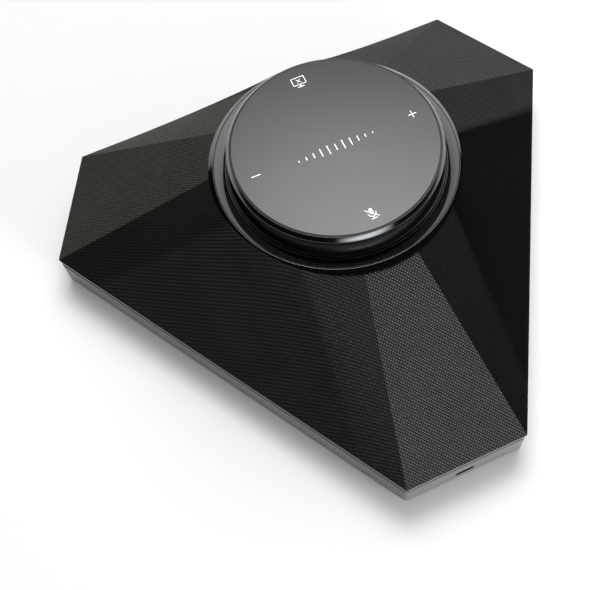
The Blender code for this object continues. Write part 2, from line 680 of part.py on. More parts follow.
def add_pod(root):
    """The ring, light guide, collar and touch disc that fill the shell's opening."""
    plate = ((20.0, CARRIER_BOTTOM), (53.2, CARRIER_BOTTOM), (53.2, CARRIER_TOP), (20.0, CARRIER_TOP))
    carrier = add_mesh("pod_carrier", turned(plate, 48), "black_plastic", root)
    holes = bmesh.new()
    for angle in SIDE_ANGLES:
        add_cylinder(holes, around(angle, CARRIER_SCREW_DISTANCE), 1.5, 60.0, 67.0, SMALL_ROUND)
    combine(carrier, "DIFFERENCE", holes, root)
    for number, angle in enumerate(SIDE_ANGLES, 1):
        low = CARRIER_TOP + GAP
        bm = screw(1.9, low, low + 1.4, 58.6, around(angle, CARRIER_SCREW_DISTANCE - 0.2))
        add_mesh(f"carrier_screw_{number}", bm, "steel", root)

    skirt = CARRIER_TOP + 2.3
    ring = (
        (RING_OUTER, skirt), (RING_OUTER, RING_TOP - 0.3), (RING_OUTER - 0.3, RING_TOP),
        (RING_INNER + 0.2, RING_TOP - 0.6), (RING_INNER, RING_TOP - 0.8), (RING_INNER, RING_TOP - 2.2),
        (RING_OUTER - 1.8, RING_TOP - 2.2), (RING_OUTER - 1.8, skirt),
    )
    add_mesh("top_ring", turned(ring), "gloss_black", root)
    inner, outer, top = NECK_RADIUS + GAP, RING_INNER - GAP, RING_TOP - 1.0
    guide = ((inner, skirt), (outer, skirt), (outer, top), (inner, top))
    add_mesh("status_light_ring", turned(guide), "diffuser", root)
    low = CARRIER_TOP + GAP
    leds = ((43.0, low), (49.0, low), (49.0, low + 1.2), (43.0, low + 1.2))
    add_mesh("led_ring_board", turned(leds, MIDDLE_ROUND), "circuit_board", root)

    neck_low, neck_high = RING_TOP - 0.5, DISC_BOTTOM - GAP
    outer_low, outer_high = NECK_RADIUS, 43.4
    curve = [
        (
            outer_low - (outer_low - outer_high) * math.sin(turn),
            neck_high - (neck_high - neck_low) * math.cos(turn),
        )
        for turn in arc_turns(0.0, 90.0, 5)
    ]
    wall = 2.2
    collar = [(outer_low, skirt)] + curve
    collar += [(outer_high - wall, neck_high), (outer_high - wall, neck_high - 2.0)]
    collar += [(outer_low - wall, neck_low - 2.0), (outer_low - wall, skirt)]
    neck = add_mesh("collar", turned(collar), "gloss_black", root)
    hole = bmesh.new()
    bmesh.ops.create_cone(
        hole, cap_ends=True, segments=12, radius1=0.5, radius2=0.5, depth=1.6,
        matrix=Matrix.Rotation(math.radians(-88.0), 4, "Z") @ Matrix.Translation((45.3, 0.0, 77.2))
        @ Matrix.Rotation(math.radians(48.0), 4, "Y"),
    )
    combine(neck, "DIFFERENCE", hole, root)


def add_disc(root):
    glass_low = DISC_TOP - 1.2
    wall_top = glass_low - GAP
    lip = DISC_TOP - 0.4
    cup = (
        (0.0, DISC_BOTTOM), (DISC_RADIUS - 1.6, DISC_BOTTOM), (FLARE_RADIUS - 0.5, DISC_TOP - 2.9),
        (FLARE_RADIUS, DISC_TOP - 2.6), (FLARE_RADIUS, DISC_TOP - 2.2), (DISC_RADIUS + 0.3, lip),
        (DISC_RADIUS, lip), (DISC_RADIUS, wall_top), (DISC_RADIUS - 1.5, wall_top),
        (DISC_RADIUS - 1.5, DISC_BOTTOM + 1.8), (0.0, DISC_BOTTOM + 1.8),
    )
    housing = add_mesh("disc_housing", turned(cup), "gloss_black", root)
    slot = bmesh.new()
    x, y = around(30.0, 12.0)
    add_box(slot, (x - 4.5, y - 4.5, DISC_BOTTOM - 1.0), (x + 4.5, y + 4.5, DISC_BOTTOM + 3.0))
    combine(housing, "DIFFERENCE", slot, root)
    low = DISC_BOTTOM + 1.8 + GAP
    board = ((0.0, low), (DISC_RADIUS - 2.2, low), (DISC_RADIUS - 2.2, low + 1.2), (0.0, low + 1.2))
    add_mesh("touch_board", turned(board, MIDDLE_ROUND), "circuit_board", root)
    low += 1.2 + GAP
    led = box((-0.8, -0.4, low), (0.8, 0.4, low + 0.6))
    bmesh.ops.translate(led, vec=(*INDICATOR_PLACE, 0.0), verts=led.verts)
    add_mesh("indicator_led", led, "diffuser", root)
    edge = DISC_RADIUS - GAP
    glass = (
        (0.0, glass_low), (edge, glass_low), (edge, DISC_TOP - 0.35), (edge - 0.8, DISC_TOP), (0.0, DISC_TOP),
    )
    add_mesh("touch_glass", turned(glass), "dark_glass", root)
    drop = ENCLOSURE_RADIUS + 2.4
    path = (
        (12.0, DISC_BOTTOM + 1.4), (12.0, 60.6), (drop, 60.6), (drop, BOARD_TOP + 0.6),
        (drop + 3.5, BOARD_TOP + 0.6),
    )
    add_mesh("touch_ribbon", strip(path, 7.0, 0.3, 30.0), "flex_film", root)


def main():
    clear_scene()
    root = add_empty("speakerphone")
    add_base_tray(root)
    add_trim_frame(root)
    add_feet(root)
    add_upper_shell(root)
    add_fabric_cover(root)
    add_opening_bezel(root)
    add_case_screws(root)
    add_usb_parts(root)
    add_main_board(root)
    add_microphones(root)
    add_enclosure(root)
    add_driver_frame(root)
    add_driver_cone(root)
    add_pod(root)
    add_disc(root)


main()
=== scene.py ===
"""Looks of the conference speakerphone: cloth, plastics, glass, printed marks, floor, light and camera.

Lengths are millimetres; add_piece scales them to metres and moves them onto the disc's axis.
"""

import json
import math

import bmesh
import bpy
from mathutils import Matrix, Vector


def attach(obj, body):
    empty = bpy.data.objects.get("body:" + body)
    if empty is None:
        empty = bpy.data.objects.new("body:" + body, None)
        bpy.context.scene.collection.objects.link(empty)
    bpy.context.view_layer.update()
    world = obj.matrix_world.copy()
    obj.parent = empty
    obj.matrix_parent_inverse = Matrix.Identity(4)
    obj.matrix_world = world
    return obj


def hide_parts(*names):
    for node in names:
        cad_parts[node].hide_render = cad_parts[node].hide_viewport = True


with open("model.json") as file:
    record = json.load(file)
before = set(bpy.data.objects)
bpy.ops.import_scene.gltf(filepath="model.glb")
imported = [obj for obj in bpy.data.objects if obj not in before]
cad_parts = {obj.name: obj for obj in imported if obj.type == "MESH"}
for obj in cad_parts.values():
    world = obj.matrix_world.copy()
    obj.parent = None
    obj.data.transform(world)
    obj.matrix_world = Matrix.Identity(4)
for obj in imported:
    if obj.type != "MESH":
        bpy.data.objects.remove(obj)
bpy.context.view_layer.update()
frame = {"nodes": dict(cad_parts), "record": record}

MM = 0.001

# Plan of the body.
END_WIDTH = 58.0
END_DISTANCE = 130.0
LEG_ANGLES = {"front": -90.0, "right": 30.0, "left": 150.0}
SIDE_ANGLES = (-30.0, 90.0, 210.0)
SIDE_DISTANCE = END_WIDTH / 2 * math.sin(math.radians(60)) + END_DISTANCE * math.cos(math.radians(60))
AXIS_Y = (END_DISTANCE - SIDE_DISTANCE) / 2
CASE_SCREW_PLACES = [(angle, 84.0) for angle in LEG_ANGLES.values()]
CASE_SCREW_PLACES += [(angle, 75.0) for angle in SIDE_ANGLES]
FOOT_DISTANCE = 106.0

# Heights.
TRAY_BOTTOM = 1.5
TRAY_TOP = 15.2
TRIM_BOTTOM = 17.2
TRIM_TOP = 19.3
HEM_BOTTOM = 19.6
SKIN_EDGE = 20.0
RING_TOP = 76.0
POD_BOTTOM = 66.9
DISC_BOTTOM = 82.0
DISC_TOP = 88.0
SOCKET_HEIGHT = 8.0

# The opening round the disc: (radius, height) over a leg and over a side.
OPENING_LEG = (55.6, 72.9)
OPENING_SIDE = (54.0, 75.3)

# Round parts.
NECK_RADIUS = 47.4
RING_INNER = 48.5
RING_OUTER = 53.1
FLARE_RADIUS = 46.5
DISC_RADIUS = 45.0
ROUND_STEPS = 192

# The cloth's facets. From each corner of a leg's end a flank fans out, as far as FACE_START along the lower
# edge, and at the opening as far as CREASE_ANGLE from the leg's middle. The side face lies beyond it.
CREASE_ANGLE = 40.0
FACE_START = 24.0
CREASE_SOFTNESS = 0.45
CLOTH_THICKNESS = 0.8
CLOTH_LEVELS = 26
STATION_STEP = 4.0
CREASE_STEP = 0.35
CREASE_REACH = 2.6
# The turned-in hem: distances in from the lower edge, and heights over HEM_BOTTOM.
HEM_PROFILE = ((4.0, 0.0), (0.7, 0.0), (0.3, 0.05), (0.1, 0.2))

# Wells in the tray's underside, and the USB-C opening as (width, height).
SCREW_WELL_RADIUS = 3.1
SCREW_WELL_TOP = 3.3
FOOT_RADIUS = 10.0
FOOT_CLEARANCE = 0.3
SOCKET_WELL = (9.3, 3.7)
SOCKET_MOUTH = (9.1, 2.9)

SMOOTH_ANGLE = 32.0


# ---------------------------------------------------------------- shapes


def around(angle, distance, offset=0.0):
    """The point at this distance along a plan angle, and this far to its left."""
    turn = math.radians(angle)
    return (
        distance * math.cos(turn) - offset * math.sin(turn),
        distance * math.sin(turn) + offset * math.cos(turn),
    )


def add_piece(name, bm, material, stands_for=(), smooth_angle=SMOOTH_ANGLE):
    """A bmesh in millimetres round the disc's axis becomes a named piece of the housing."""
    bmesh.ops.remove_doubles(bm, verts=bm.verts, dist=1e-4)
    bmesh.ops.recalc_face_normals(bm, faces=bm.faces)
    bmesh.ops.translate(bm, vec=(0.0, AXIS_Y, 0.0), verts=bm.verts)
    bmesh.ops.scale(bm, vec=(MM, MM, MM), verts=bm.verts)
    mesh = bpy.data.meshes.new(name)
    bm.to_mesh(mesh)
    bm.free()
    mesh.materials.append(material)
    mesh.shade_smooth()
    mesh.set_sharp_from_angle(angle=math.radians(smooth_angle))
    piece = bpy.data.objects.new(name, mesh)
    bpy.context.collection.objects.link(piece)
    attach(piece, "housing")
    if stands_for:
        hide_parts(*stands_for)
    return piece


def cut(piece, bm):
    """Cut the shapes in bm, in millimetres, out of a piece and keep the result as its mesh."""
    bmesh.ops.recalc_face_normals(bm, faces=bm.faces)
    bmesh.ops.translate(bm, vec=(0.0, AXIS_Y, 0.0), verts=bm.verts)
    bmesh.ops.scale(bm, vec=(MM, MM, MM), verts=bm.verts)
    mesh = bpy.data.meshes.new("cutter")
    bm.to_mesh(mesh)
    bm.free()
    cutter = bpy.data.objects.new("cutter", mesh)
    bpy.context.collection.objects.link(cutter)
    modifier = piece.modifiers.new("Cut", "BOOLEAN")
    modifier.operation = "DIFFERENCE"
    modifier.solver = "EXACT"
    modifier.object = cutter
    bpy.context.view_layer.update()
    made = bmesh.new()
    made.from_object(piece, bpy.context.evaluated_depsgraph_get())
    piece.modifiers.remove(modifier)
    made.to_mesh(piece.data)
    made.free()
    piece.data.set_sharp_from_angle(angle=math.radians(SMOOTH_ANGLE))
    bpy.data.objects.remove(cutter, do_unlink=True)


def loft(bm, loops, caps=False):
    """Quads between neighbouring loops of points. The last joins the first, or both ends are capped."""
    rings = [[bm.verts.new(point) for point in loop] for loop in loops]
    following = rings[1:] + ([] if caps else rings[:1])
    for lower, upper in zip(rings, following):
        for i, vert in enumerate(lower):
            j = (i + 1) % len(lower)
            bm.faces.new((vert, lower[j], upper[j], upper[i]))
    if caps:
        bm.faces.new(rings[0])
        bm.faces.new(rings[-1])


def rounded(outline, radius, steps=4):
    """An outline of 2-D points with each corner off the axis rounded, as far as its edges allow."""
    points = [Vector(point) for point in outline]
    made = []
    for i, corner in enumerate(points):
        before = points[i - 1] - corner
        after = points[(i + 1) % len(points)] - corner
        if corner.x < 1e-6:
            made.append(tuple(corner))
            continue
        half = before.angle(after) / 2
        reach = min(radius / math.tan(half), 0.45 * before.length, 0.45 * after.length)
        start = corner + before.normalized() * reach
        end = corner + after.normalized() * reach
        for k in range(steps + 1):
            share = k / steps
            made.append(tuple((1 - share) ** 2 * start + 2 * share * (1 - share) * corner + share**2 * end))
    return made


def turned(profile, steps=ROUND_STEPS, centre=(0.0, 0.0)):
    """A closed outline of (radius, height) points turned about a vertical axis through centre."""
    bm = bmesh.new()
    verts = [bm.verts.new((radius, 0.0, height)) for radius, height in profile]
    edges = [bm.edges.new((verts[i - 1], vert)) for i, vert in enumerate(verts)]
    edges = [edge for edge in edges if max(vert.co.x for vert in edge.verts) > 1e-6]
    bmesh.ops.spin(
        bm, geom=edges, cent=(0, 0, 0), axis=(0, 0, 1), angle=math.tau, steps=steps, use_merge=True
    )
    bmesh.ops.remove_doubles(bm, verts=bm.verts, dist=1e-4)
    loose = [vert for vert in bm.verts if not vert.link_faces]
    bmesh.ops.delete(bm, geom=loose, context="VERTS")
    bmesh.ops.translate(bm, vec=(*centre, 0.0), verts=bm.verts)
    return bm


def add_cylinder(bm, centre, radius, low, high, steps=48):
    bmesh.ops.create_cone(
        bm, cap_ends=True, segments=steps, radius1=radius, radius2=radius, depth=high - low,
        matrix=Matrix.Translation((*centre, (low + high) / 2)),
    )


def rounded_hexagon(inset, radius, height, steps=12):
    """The body's plan, moved in by inset, with round corners."""
    distance = END_DISTANCE - inset
    half = END_WIDTH / 2 - inset * math.tan(math.radians(30))
    setback = radius / math.cos(math.radians(30))
    loop = []
    for angle in LEG_ANGLES.values():
        for side in (-1, 1):
            corner = Vector(around(angle, distance, side * half))
            outward = angle + side * 30.0
            centre = corner - Vector(around(outward, setback))
            for i in range(steps + 1):
                turn = outward - 30.0 + 60.0 * i / steps
                loop.append((*(centre + Vector(around(turn, radius))), height))
    return loop


def stadium_loop(width, height, y, steps=16):
    """An upright outline with round ends, at the USB-C socket's place."""
    radius = height / 2
    loop = []
    for side, start in ((1, -90.0), (-1, 90.0)):
        for i in range(steps + 1):
            turn = math.radians(start + 180.0 * i / steps)
            x = side * (width / 2 - radius) + radius * math.cos(turn)
            loop.append((x, y, SOCKET_HEIGHT + radius * math.sin(turn)))
    return loop


# ---------------------------------------------------------------- the cloth's surface

RIDGE_ANGLE = math.degrees(math.atan2(END_WIDTH / 2, END_DISTANCE))
CORNER = Vector((END_DISTANCE, END_WIDTH / 2))
SIDE_MIDDLE = Vector(around(60.0, SIDE_DISTANCE))
HALF_SIDE = (SIDE_MIDDLE - CORNER).length
SECTOR = END_WIDTH / 2 + HALF_SIDE


def opening_point(angle_from_leg):
    wave = (1 - math.cos(math.radians(3 * angle_from_leg))) / 2
    radius = OPENING_LEG[0] + (OPENING_SIDE[0] - OPENING_LEG[0]) * wave
    height = OPENING_LEG[1] + (OPENING_SIDE[1] - OPENING_LEG[1]) * wave
    return Vector((*around(angle_from_leg, radius), height))


def sharp_ruling(s):
    """Lower and upper ends, in one leg's own frame, of the straight line at distance s along the edge."""
    if abs(s) > SECTOR:
        over = math.copysign(2 * SECTOR, s)
        lower, upper = sharp_ruling(s - over)
        turn = Matrix.Rotation(math.radians(math.copysign(120.0, s)), 3, "Z")
        return turn @ lower, turn @ upper
    along = abs(s) - END_WIDTH / 2
    if along <= 0:
        angle = RIDGE_ANGLE * abs(s) / (END_WIDTH / 2)
        point = Vector((END_DISTANCE, abs(s)))
    else:
        point = CORNER.lerp(SIDE_MIDDLE, along / HALF_SIDE)
        if along <= FACE_START:
            angle = RIDGE_ANGLE + (CREASE_ANGLE - RIDGE_ANGLE) * along / FACE_START
        else:
            angle = CREASE_ANGLE + (60.0 - CREASE_ANGLE) * (along - FACE_START) / (HALF_SIDE - FACE_START)
    sign = math.copysign(1.0, s)
    lower = Vector((point.x, sign * point.y, SKIN_EDGE))
    return lower, opening_point(sign * angle)


def soft_ruling(s):
    """A ruling averaged over a short stretch of the edge, which rounds the creases."""
    offsets = [CREASE_SOFTNESS * k for k in (-1.0, -0.5, 0.0, 0.5, 1.0)]
    pairs = [sharp_ruling(s + offset) for offset in offsets]
    lower = sum((pair[0] for pair in pairs), Vector()) / len(pairs)
    upper = sum((pair[1] for pair in pairs), Vector()) / len(pairs)
    return lower, upper


def stations():
    """Distances along one leg's stretch of the edge, close together at the creases."""
    creases = (END_WIDTH / 2, END_WIDTH / 2 + FACE_START)
    found = {crease + CREASE_STEP * k for crease in creases for k in range(-6, 7)}
    s = 0.0
    while s < SECTOR:
        if all(abs(s - crease) > CREASE_REACH for crease in creases):
            found.add(s)
        s += STATION_STEP
    found = sorted(found)
    return [-s for s in reversed(found[1:])] + found + [SECTOR]


def cloth_rulings():
    rulings = []
    for angle in LEG_ANGLES.values():
        turn = Matrix.Rotation(math.radians(angle), 3, "Z")
        for s in stations():
            lower, upper = soft_ruling(s)
            rulings.append((turn @ lower, turn @ upper))
    return rulings


def inward(ruling):
    """Unit vector at right angles to the ruling, into the body, in its vertical plane."""
    lower, upper = ruling
    run = math.hypot(upper.x - lower.x, upper.y - lower.y)
    rise = upper.z - lower.z
    flat = Vector((-lower.x, -lower.y, 0.0)).normalized()
    return (flat * rise - Vector((0.0, 0.0, run))).normalized()


def cloth_loops():
    """Outer face from the hem up, over the rolled edge at the opening, and back down inside."""
    rulings = cloth_rulings()
    loops = []
    for depth, rise in HEM_PROFILE:
        loops.append([edge_point(lower, depth, HEM_BOTTOM + rise) for lower, upper in rulings])
    rolled = CLOTH_THICKNESS / 2
    for i in range(CLOTH_LEVELS + 1):
        loops.append([
            lower.lerp(upper - (upper - lower).normalized() * rolled, i / CLOTH_LEVELS)
            for lower, upper in rulings
        ])
    for turn in (22.5, 45.0, 67.5, 90.0, 112.5, 135.0, 157.5):
        loops.append([rolled_edge(ruling, math.radians(turn)) for ruling in rulings])
    for i in range(4, -1, -1):
        loops.append([
            lower.lerp(upper, 0.012 + 0.97 * i / 4) + inward((lower, upper)) * CLOTH_THICKNESS
            for lower, upper in rulings
        ])
    hem_top = HEM_BOTTOM + CLOTH_THICKNESS
    loops.append([edge_point(lower, HEM_PROFILE[0][0], hem_top) for lower, upper in rulings])
    return loops


def edge_point(lower, depth, height):
    """A point under the cloth's lower edge, moved in towards the axis."""
    flat = Vector((lower.x, lower.y, 0.0))
    return Vector((*(flat * (1 - depth / flat.length)).xy, height))


def rolled_edge(ruling, turn):
    """A point on the half-round edge of the cloth at the opening."""
    lower, upper = ruling
    along = (upper - lower).normalized()
    depth = inward(ruling)
    half = CLOTH_THICKNESS / 2
    return upper - along * half + depth * half - depth * half * math.cos(turn) + along * half * math.sin(turn)


# ---------------------------------------------------------------- materials


class Nodes:
    """A short way to write one material's node tree."""

    def __init__(self, name):
        self.material = bpy.data.materials.new(name)
        self.material.use_nodes = True
        self.tree = self.material.node_tree
        self.shader = self.tree.nodes["Principled BSDF"]

    def add(self, kind, **settings):
        node = self.tree.nodes.new("ShaderNode" + kind)
        for key, value in settings.items():
            setattr(node, key, value)
        return node

    def link(self, source, target):
        self.tree.links.new(source, target)

    def feed(self, socket, value):
        """Link an output to a socket, or set the socket's own value."""
        if isinstance(value, bpy.types.NodeSocket):
            self.link(value, socket)
        elif value is not None:
            socket.default_value = value

    def place(self):
        """Coordinates on the object at rest, in metres."""
        return self.add("TexCoord").outputs["Object"]

    def maths(self, operation, first, second=None):
        node = self.add("Math", operation=operation)
        self.feed(node.inputs[0], first)
        self.feed(node.inputs[1], second)
        return node.outputs[0]

    def noise(self, scale, detail=2.0, vector=None):
        node = self.add("TexNoise")
        self.link(vector or self.place(), node.inputs["Vector"])
        node.inputs["Scale"].default_value = scale
        node.inputs["Detail"].default_value = detail
        return node.outputs["Fac"]

    def spread(self, value, low, high, start=0.0, end=1.0):
        node = self.add("MapRange")
        self.link(value, node.inputs["Value"])
        for name, number in (("From Min", start), ("From Max", end), ("To Min", low), ("To Max", high)):
            node.inputs[name].default_value = number
        return node.outputs["Result"]

    def between(self, share, first, second):
        """Two colours mixed by a share."""
        node = self.add("Mix", data_type="RGBA")
        self.feed(node.inputs["Factor"], share)
        for socket, value in ((node.inputs[6], first), (node.inputs[7], second)):
            self.feed(socket, (*value, 1.0) if isinstance(value, tuple) and len(value) == 3 else value)
        return node.outputs[2]

    def bump(self, height, strength, distance):
        node = self.add("Bump")
        node.inputs["Strength"].default_value = strength
        node.inputs["Distance"].default_value = distance
        self.link(height, node.inputs["Height"])
        self.link(node.outputs["Normal"], self.shader.inputs["Normal"])

    def set(self, **values):
        for name, value in values.items():
            self.feed(self.shader.inputs[name.replace("_", " ")], value)


def grained(name, dark, light, roughness, grain, bump=0.1, **values):
    """A plain finish with slight colour and roughness variation and a fine grain."""
    nodes = Nodes(name)
    broad = nodes.noise(60.0, 3.0)
    fine = nodes.noise(grain, 2.0)
    nodes.set(Base_Color=nodes.between(broad, dark, light))
    nodes.set(Roughness=nodes.spread(broad, roughness - 0.04, roughness + 0.04, 0.3, 0.7))
    nodes.bump(fine, bump, 0.0001)
    nodes.set(**values)
    return nodes.material


CLOTH_DARK = (0.0014, 0.0016, 0.0016)
CLOTH_LIGHT = (0.124, 0.13, 0.128)
CLOTH_WARM = (0.135, 0.128, 0.112)
# Painted light and shade: the share of light yarn that shows on each zone, at its lower and upper end, is set
# higher on the ridges and on zones towards the back, lower on the steep faces and lowest on the face between
# the front and right legs, as light falls on each facet. A flank is named by its leg and the leg that it
# looks towards, and a side face by the two legs beside it.
RIDGE_PAINTED_SHADING = {"front": (0.93, 0.89), "right": (1.06, 1.06), "left": (0.78, 0.74)}
FLANK_PAINTED_SHADING = {
    ("front", "left"): (0.42, 0.50), ("front", "right"): (0.07, 0.15),
    ("right", "front"): (0.42, 0.42), ("right", "left"): (1.2, 1.2),
    ("left", "right"): (1.4, 1.4), ("left", "front"): (0.2, 0.2),
}
FACE_PAINTED_SHADING = {
    ("front", "left"): (0.33, 0.37), ("front", "right"): (0.008, 0.012), ("left", "right"): (0.52, 0.52),
}
SOFT_CREASE = 3.0
# Where painted shade leaves little light yarn showing, its pattern evens out towards this share.
EVEN_SHARE = 0.33
YARN_CONTRAST = 1.35
DIAGONAL_WEIGHT = 0.42
WARP_WEIGHT = 0.34
WEFT_WEIGHT = 0.32
WARP_PERIOD = 1.113
WARP_ANGLE = 46.8
WEFT_PERIOD = 1.03
WEFT_ANGLE = 138.5


def waves(nodes, period, angle):
    """Phase, in radians, of a straight wave across the plan of the body."""
    turn = math.radians(angle)
    rate = math.tau / (period * MM)
    node = nodes.add("VectorMath", operation="DOT_PRODUCT")
    nodes.link(nodes.place(), node.inputs[0])
    node.inputs[1].default_value = (rate * math.cos(turn), rate * math.sin(turn), 0.0)
    return node.outputs["Value"]


def cloth_material():
    """Twill of dark yarn with light flecks, whose share is scaled by the painted light and shade of each
    zone.
    """
    nodes = Nodes("charcoal_twill")
    drift = nodes.spread(nodes.noise(900.0, 1.0), -0.5, 0.5)
    warp = nodes.maths("ADD", waves(nodes, WARP_PERIOD, WARP_ANGLE), drift)
    weft = nodes.maths("ADD", waves(nodes, WEFT_PERIOD, WEFT_ANGLE), drift)
    diagonal = nodes.maths("COSINE", nodes.maths("ADD", warp, weft))
    diagonal = nodes.maths("MULTIPLY", diagonal, DIAGONAL_WEIGHT)
    across = nodes.maths("MULTIPLY", nodes.maths("COSINE", warp), WARP_WEIGHT)
    along = nodes.maths("MULTIPLY", nodes.maths("COSINE", weft), WEFT_WEIGHT)
    sum_of = nodes.maths("ADD", nodes.maths("ADD", diagonal, across), along)
    yarn = nodes.spread(sum_of, 0.0, 1.0, -0.75, 1.05)
    fleck = nodes.spread(nodes.noise(1400.0, 2.0), 0.72, 1.3, 0.35, 0.75)
    broad = nodes.spread(nodes.noise(45.0, 3.0), 0.93, 1.07, 0.3, 0.7)
    # Painted light and shade per zone scales the share of light yarn.
    painted_shading = nodes.add("Attribute", attribute_name="painted_shading")
    detail = nodes.spread(painted_shading.outputs["Fac"], 0.45, 1.0, 0.0, 0.6)
    pattern = nodes.maths("SUBTRACT", nodes.maths("POWER", yarn, YARN_CONTRAST), EVEN_SHARE)
    pattern = nodes.maths("ADD", nodes.maths("MULTIPLY", pattern, detail), EVEN_SHARE)
    share = nodes.maths("MULTIPLY", nodes.maths("MULTIPLY", pattern, fleck), broad)
    share = nodes.maths("MULTIPLY", share, painted_shading.outputs["Fac"])
    side = nodes.add("Attribute", attribute_name="warm")
    light = nodes.between(side.outputs["Fac"], CLOTH_LIGHT, CLOTH_WARM)
    nodes.set(Base_Color=nodes.between(share, CLOTH_DARK, light))
    nodes.set(Roughness=0.78)
    nodes.set(Specular_IOR_Level=0.02)
    nodes.bump(yarn, 0.5, 0.00022)
    return nodes.material


def tray_material():
    return grained(
        "light_grey_shell", (0.135, 0.135, 0.137), (0.15, 0.15, 0.152), 0.42, 5200.0, 0.06, IOR=1.48
    )


def trim_material():
    return grained("grey_trim", (0.17, 0.17, 0.174), (0.20, 0.20, 0.204), 0.4, 5200.0, 0.05)


def gloss_material(name, colour=(0.002, 0.002, 0.0022), roughness=0.05, ior=1.45):
    nodes = Nodes(name)
    smudge = nodes.noise(35.0, 4.0)
    nodes.set(Base_Color=nodes.between(smudge, colour, tuple(1.5 * c for c in colour)))
    nodes.set(Roughness=nodes.spread(smudge, roughness, roughness + 0.035, 0.35, 0.7))
    nodes.set(IOR=ior)
    nodes.bump(nodes.noise(22.0, 2.0), 0.02, 0.0002)
    return nodes.material


def glass_material():
    nodes = Nodes("smoked_glass")
    smudge = nodes.noise(28.0, 5.0)
    nodes.set(Base_Color=nodes.between(smudge, (0.044, 0.044, 0.045), (0.049, 0.049, 0.05)))
    nodes.set(Roughness=nodes.spread(smudge, 0.2, 0.24, 0.35, 0.7))
    nodes.bump(nodes.noise(15.0, 2.0), 0.012, 0.0002)
    return nodes.material


def ink_material():
    nodes = Nodes("white_ink")
    nodes.set(Base_Color=nodes.between(nodes.noise(2500.0, 2.0), (0.86, 0.86, 0.86), (0.95, 0.95, 0.95)))
    nodes.set(Roughness=0.45)
    # Painted glow: the printed ink gives off a little light of its own.
    nodes.set(Emission_Color=(1.0, 1.0, 1.0, 1.0))
    nodes.set(Emission_Strength=0.35)
    return nodes.material


def metal_material(name, dark, light, roughness):
    """Plated or drawn metal with fine streaks."""
    nodes = Nodes(name)
    stretch = nodes.add("Mapping")
    nodes.link(nodes.place(), stretch.inputs["Vector"])
    stretch.inputs["Scale"].default_value = (1.0, 1.0, 12.0)
    streak = nodes.noise(900.0, 3.0, stretch.outputs["Vector"])
    nodes.set(Base_Color=nodes.between(streak, dark, light))
    nodes.set(Metallic=1.0)
    nodes.set(Roughness=nodes.spread(streak, roughness - 0.06, roughness + 0.08, 0.3, 0.7))
    nodes.bump(streak, 0.08, 0.0001)
    return nodes.material


def socket_shade_material():
    # Near black: the black tongue of the USB-C socket, and painted shade on its steel shell and on the walls
    # of its opening.
    return grained(
        "black_socket_and_painted_shade", (0.003, 0.003, 0.003), (0.005, 0.005, 0.005), 0.6, 2000.0, 0.05,
        Specular_IOR_Level=0.1,
    )


def board_material():
    """Solder mask with darker copper areas under it."""
    nodes = Nodes("green_board")
    cells = nodes.add("TexVoronoi")
    nodes.link(nodes.place(), cells.inputs["Vector"])
    cells.inputs["Scale"].default_value = 260.0
    tracks = nodes.spread(cells.outputs["Distance"], 0.0, 1.0, 0.2, 0.5)
    nodes.set(Base_Color=nodes.between(tracks, (0.008, 0.07, 0.035), (0.012, 0.11, 0.055)))
    nodes.set(Roughness=0.35)
    nodes.bump(tracks, 0.15, 0.0001)
    return nodes.material


def inner_materials():
    """A finish for each slot of the CAD nodes that show as they are, or only with the case open."""
    black = (0.012, 0.012, 0.013)
    soft_black = (0.02, 0.02, 0.021)
    return {
        "light_grey_plastic": trim_material(),
        "black_plastic": grained("black_shell", black, soft_black, 0.5, 4200.0, 0.15),
        "gloss_black": gloss_material("gloss_black_part"),
        "charcoal_fabric": grained("black_backing", black, soft_black, 0.8, 2500.0),
        "dark_glass": glass_material(),
        "rubber": grained("black_rubber", (0.013, 0.013, 0.013), (0.022, 0.022, 0.022), 0.75, 2600.0, 0.2),
        "steel": metal_material("zinc_plated_steel", (0.5, 0.5, 0.51), (0.66, 0.66, 0.67), 0.32),
        "socket_black": socket_shade_material(),
        "ferrite": grained("ferrite_grey", (0.035, 0.035, 0.038), (0.06, 0.06, 0.065), 0.55, 1800.0, 0.25),
        "circuit_board": board_material(),
        "flex_film": grained("amber_film", (0.36, 0.15, 0.02), (0.46, 0.2, 0.03), 0.3, 900.0),
        "paper_cone": grained("pressed_paper", (0.03, 0.03, 0.03), (0.055, 0.055, 0.053), 0.85, 1500.0, 0.5),
        "copper": metal_material("copper_wire", (0.65, 0.27, 0.12), (0.8, 0.38, 0.18), 0.3),
        "diffuser": grained("smoky_guide", (0.008, 0.008, 0.009), (0.014, 0.014, 0.015), 0.2, 2000.0, 0.05),
    }


# ---------------------------------------------------------------- pieces


def add_cloth(material):
    bm = bmesh.new()
    painted_shading = bm.faces.layers.float.new("painted_shading")
    loft(bm, cloth_loops())
    spans = ruling_spans()
    # Each face gets the painted light and shade of its zone and height.
    for number, face in enumerate(bm.faces):
        level, place = divmod(number, len(spans))
        share = (level - len(HEM_PROFILE)) / CLOTH_LEVELS
        face[painted_shading] = painted_shading_at(*spans[place], max(0.0, min(1.0, share)))
    cloth = add_piece("fabric_skin", bm, material, ["fabric_cover"], smooth_angle=60.0)
    add_warmth(cloth)


def ruling_spans():
    """For each stretch between two rulings: its leg, and its middle's distance along that leg's edge."""
    starts = stations()
    ends = starts[1:] + [SECTOR + 0.1]
    return [(leg, (start + end) / 2) for leg in LEG_ANGLES for start, end in zip(starts, ends)]


